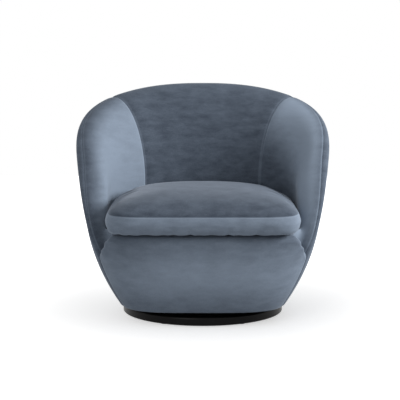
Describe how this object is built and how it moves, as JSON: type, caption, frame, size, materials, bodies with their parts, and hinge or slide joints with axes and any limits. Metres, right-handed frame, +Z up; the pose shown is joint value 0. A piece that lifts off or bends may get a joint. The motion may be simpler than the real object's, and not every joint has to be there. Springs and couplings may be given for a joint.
{
  "type": "swivel tub armchair",
  "caption": "Upholstered tub armchair with a wrap-round padded back falling to low front corners, a loose seat cushion, and a low round plinth it swivels on.",
  "frame": {"origin": "on the floor at the swivel axis, under the middle of the chair", "axes": "+Z up, -Y towards the front of the seat, +X to the right as the chair is seen from the front"},
  "size_m": [0.835, 0.7572, 0.733],
  "materials": {
    "velvet": "short-pile woven velvet, slate blue",
    "lining": "black non-woven lining cloth",
    "foam": "cut upholstery foam",
    "wadding": "polyester wadding",
    "webbing": "woven elastic webbing",
    "black_lacquer": "turned timber, black semi-gloss lacquer",
    "nylon": "moulded nylon",
    "black_steel": "pressed steel, black powder coat",
    "plated_steel": "zinc-plated steel",
    "plywood": "birch plywood, unfinished"
  },
  "bodies": {
    "base": {"plinth": "black_lacquer", "floor_glides": "nylon", "swivel_lower_plate": "black_steel", "pivot_stud": "plated_steel", "pivot_washer": "plated_steel", "pivot_nut": "plated_steel", "plinth_screws": "plated_steel"},
    "bearing": {"swivel_balls": "plated_steel", "ball_cage": "plated_steel"},
    "seat": {"apron_board": "plywood", "apron_cover": "velvet", "apron_foam": "foam", "arm_rib_left": "plywood", "arm_rib_right": "plywood", "back_rib": "plywood", "bottom_board": "plywood", "corner_former_left": "plywood", "corner_former_right": "plywood", "deck_cover": "lining", "deck_pad": "foam", "dust_cover": "lining", "front_former": "plywood", "inside_arm_cover_left": "velvet", "inside_arm_cover_right": "velvet", "inside_arm_foam_left": "foam", "inside_arm_foam_right": "foam", "inside_back_cover": "velvet", "inside_back_foam": "foam", "outside_arm_cover_left": "velvet", "outside_arm_cover_right": "velvet", "outside_arm_wadding_left": "wadding", "outside_arm_wadding_right": "wadding", "outside_back_cover": "velvet", "outside_back_wadding": "wadding", "pivot_bush": "nylon", "rim_rail": "plywood", "seat_ring": "plywood", "shoulder_rib_left": "plywood", "shoulder_rib_right": "plywood", "side_rib_left": "plywood", "side_rib_right": "plywood", "swivel_bolts": "plated_steel", "swivel_upper_plate": "black_steel", "tee_nuts": "plated_steel", "webbing_cross": "webbing", "webbing_long": "webbing"},
    "cushion": {"cushion_border": "velvet", "cushion_bottom": "velvet", "cushion_core": "foam", "cushion_top": "velvet"}
  },
  "joints": [
    {"name": "swivel", "type": "hinge", "parent": "base", "child": "seat", "pos_m": [0, 0, 0.0405], "axis": [0, 0, 1], "continuous": true},
    {"name": "bearing_turn", "type": "hinge", "parent": "base", "child": "bearing", "pos_m": [0, 0, 0.0405], "axis": [0, 0, 1], "continuous": true},
    {"name": "cushion_lift", "type": "slide", "parent": "seat", "child": "cushion", "axis": [0, 0, 1], "range_m": [0, 0.45]}
  ],
  "couplings": [
    {"joint": "bearing_turn", "follows": "swivel", "ratio": 0.5}
  ]
}
